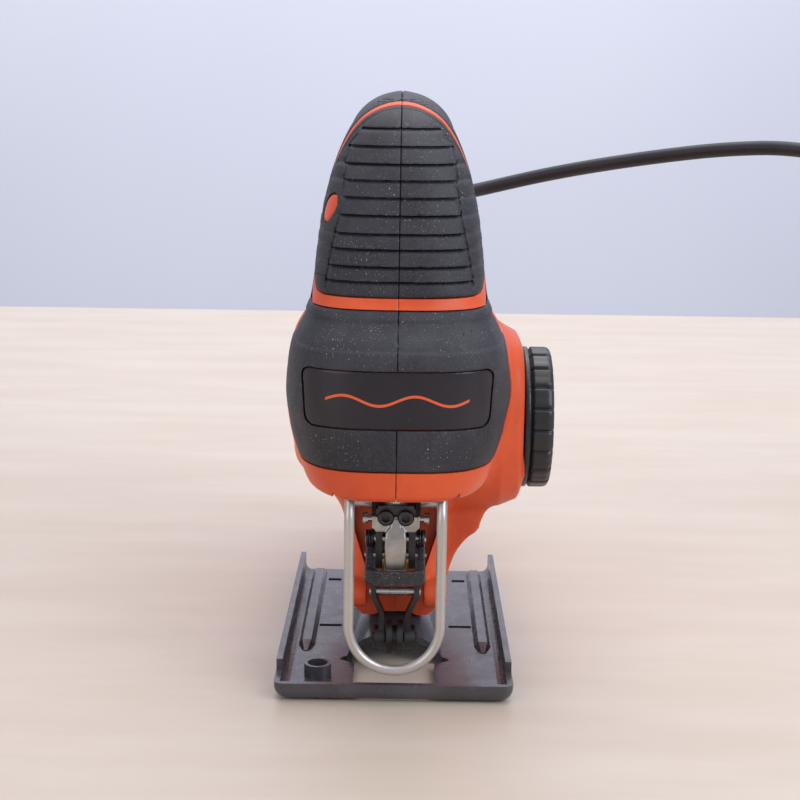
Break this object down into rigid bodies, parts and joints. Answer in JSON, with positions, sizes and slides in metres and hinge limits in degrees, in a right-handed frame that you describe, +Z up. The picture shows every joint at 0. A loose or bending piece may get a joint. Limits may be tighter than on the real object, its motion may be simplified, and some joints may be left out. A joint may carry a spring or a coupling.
{
  "type": "jigsaw power tool",
  "caption": "Corded jigsaw: D handle with ribbed rubber grip, side dial, wire finger guard, lever blade clamp, guide roller and a steel shoe that bevels both ways.",
  "frame": {"origin": "centre of the shoe's sole, on the plane that rides on the work, which is also the bevel axis", "axes": "+Z up; -Y the cutting direction (front); +X the side with the dial, which is the left side for the person holding the tool"},
  "size_m": [0.3238, 0.3001, 0.19],
  "materials": {
    "shell": "satin moulded, fine texture",
    "grip_rubber": "matte, fine grain, dusty",
    "plate": "smooth satin film",
    "zinc_steel": "zinc plated",
    "black_enamel": "gloss stoved enamel",
    "blackened_steel": "phosphated, oily",
    "guard_steel": "satin nickel",
    "black_plastic": "moulded",
    "cast_aluminium": "as cast",
    "bronze": "sintered",
    "bright_steel": "ground",
    "gear_steel": "sintered, oiled",
    "lamination": "stacked sheet",
    "copper": "enamelled wire",
    "brass": "pressed",
    "carbon": "pressed carbon",
    "spring_steel": "oil tempered",
    "lever_black": "moulded, worn edges",
    "dial_plastic": "satin moulded",
    "button_orange": "satin moulded",
    "cord_rubber": "matte, smooth",
    "nickel": "nickel plated"
  },
  "bodies": {
    "housing": {"housing_left": "shell", "housing_right": "shell", "nose_grip_left": "grip_rubber", "nose_grip_right": "grip_rubber", "thumb_pad_left": "grip_rubber", "thumb_pad_right": "grip_rubber", "handle_grip_left": "grip_rubber", "handle_grip_right": "grip_rubber", "name_plate": "plate", "housing_screws": "zinc_steel", "bevel_screw": "blackened_steel", "bevel_clamp_plate": "zinc_steel", "wire_guard": "guard_steel", "guard_holder": "black_plastic", "gear_frame": "cast_aluminium", "plunger_bush_lower": "bronze", "plunger_bush_upper": "bronze", "front_bearing": "bright_steel", "rear_bearing": "bright_steel", "gear_axle": "bright_steel", "stator_core": "lamination", "stator_windings": "copper", "brush_holders": "brass", "carbon_brushes": "carbon", "bracket_pin": "bright_steel", "trigger_switch": "black_plastic", "trigger_spring": "spring_steel", "cord_guard": "cord_rubber", "cord_clamp": "black_plastic", "power_cord": "cord_rubber", "cord_tail": "cord_rubber", "cord_coil": "cord_rubber", "plug_body": "cord_rubber", "plug_blades": "nickel"},
    "shoe": {"shoe": "black_enamel"},
    "plunger": {"plunger": "bright_steel", "yoke": "gear_steel", "clamp_body": "blackened_steel", "clamp_screws": "blackened_steel", "clamp_pins": "bright_steel", "clamp_springs": "spring_steel", "blade_tongue": "bright_steel", "blade_guide_strip": "brass"},
    "release_lever": {"release_lever": "lever_black"},
    "roller_arm": {"roller_bracket": "blackened_steel", "bracket_rod": "bright_steel", "roller_pin": "blackened_steel"},
    "roller": {"blade_roller": "blackened_steel"},
    "drive_gear": {"drive_gear": "gear_steel"},
    "armature": {"armature_shaft": "bright_steel", "armature_core": "lamination", "armature_windings": "copper", "commutator": "copper", "fan": "black_plastic", "motor_pinion": "gear_steel"},
    "trigger": {"trigger": "black_plastic"},
    "lock_button": {"lock_button": "button_orange"},
    "dial": {"mode_dial": "dial_plastic", "dial_spindle": "zinc_steel"}
  },
  "joints": [
    {"name": "shoe_bevel", "type": "hinge", "parent": "housing", "child": "shoe", "pos_m": [0, 0, 0], "axis": [0, 1, 0], "range_deg": [-45, 45]},
    {"name": "plunger_slide", "type": "slide", "parent": "housing", "child": "plunger", "axis": [0, 0, 1], "range_m": [-0.008, 0.008]},
    {"name": "lever_release", "type": "hinge", "parent": "plunger", "child": "release_lever", "pos_m": [0, -0.0505, 0.0442], "axis": [-1, 0, 0], "range_deg": [0, 38], "stiffness_Nm_per_rad": 0.02, "springref_deg": -17.19},
    {"name": "roller_swing", "type": "hinge", "parent": "housing", "child": "roller_arm", "pos_m": [0, -0.037, 0.058], "axis": [-1, 0, 0], "range_deg": [0, 3]},
    {"name": "roller_spin", "type": "hinge", "parent": "roller_arm", "child": "roller", "pos_m": [0, -0.038, 0.012], "axis": [1, 0, 0], "continuous": true},
    {"name": "gear_spin", "type": "hinge", "parent": "housing", "child": "drive_gear", "pos_m": [0, -0.02, 0.108], "axis": [0, 1, 0], "continuous": true},
    {"name": "armature_spin", "type": "hinge", "parent": "housing", "child": "armature", "pos_m": [0, 0.05, 0.084], "axis": [0, 1, 0], "continuous": true},
    {"name": "trigger_press", "type": "slide", "parent": "housing", "child": "trigger", "axis": [0, 0, 1], "range_m": [0, 0.005], "stiffness_N_per_m": 900, "springref_m": -0.004, "deforming": ["trigger_spring"]},
    {"name": "lock_press", "type": "slide", "parent": "housing", "child": "lock_button", "axis": [1, 0, 0], "range_m": [0, 0.003], "stiffness_N_per_m": 500, "springref_m": -0.002},
    {"name": "dial_turn", "type": "hinge", "parent": "housing", "child": "dial", "pos_m": [0.049, -0.006, 0.0805], "axis": [1, 0, 0], "range_deg": [-60, 60]}
  ],
  "couplings": [
    {"joint": "armature_spin", "follows": "gear_spin", "ratio": -4}
  ]
}
